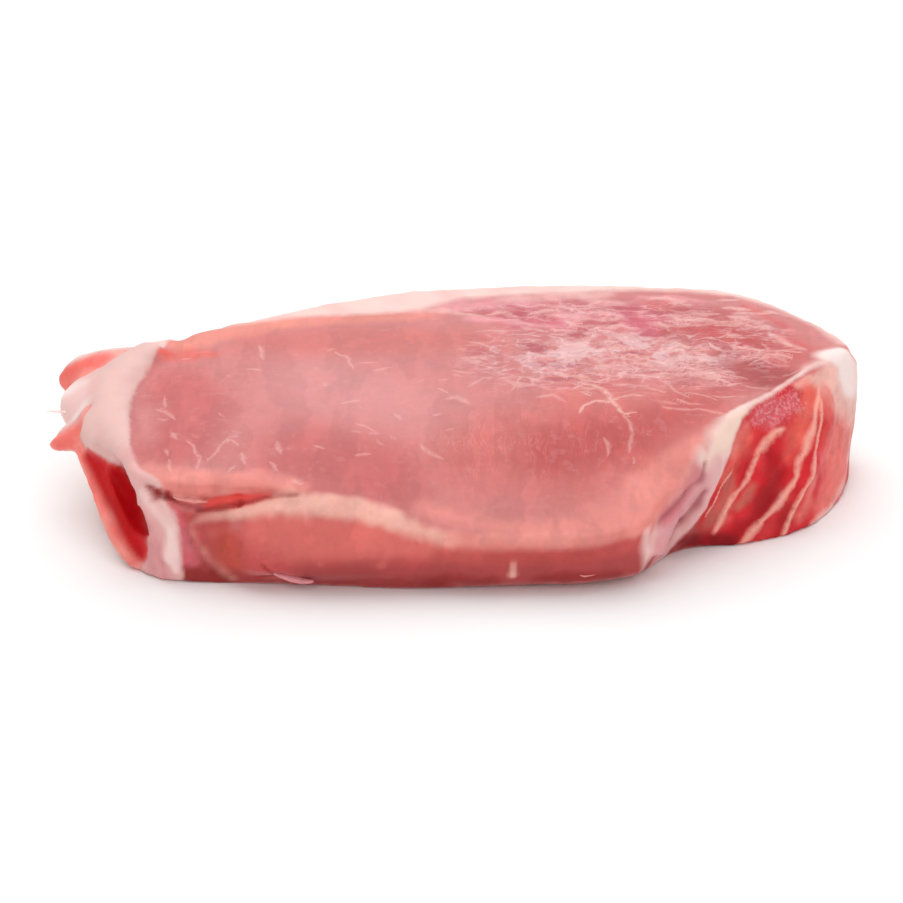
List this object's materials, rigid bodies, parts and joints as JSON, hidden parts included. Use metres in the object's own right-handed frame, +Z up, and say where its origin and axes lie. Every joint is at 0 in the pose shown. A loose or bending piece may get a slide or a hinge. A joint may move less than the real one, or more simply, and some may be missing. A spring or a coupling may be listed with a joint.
{
  "type": "raw pork chop",
  "caption": "Boneless raw pork loin chop lying flat: pale pink lean eye, fat along its back and left end, a loose front strip and a streaky end, for food scenes.",
  "frame": {"origin": "under the middle of the chop, on the surface that it lies on", "axes": "+X along the chop's length towards its streaky end, +Y from the thin front edge towards the fat on its back, +Z up"},
  "size_m": [0.1514, 0.0888, 0.0247],
  "materials": {
    "raw_pork": "moist, pale pink lean pork with cream fat"
  },
  "bodies": {
    "root": {"pork_chop": "raw_pork"}
  },
  "joints": []
}
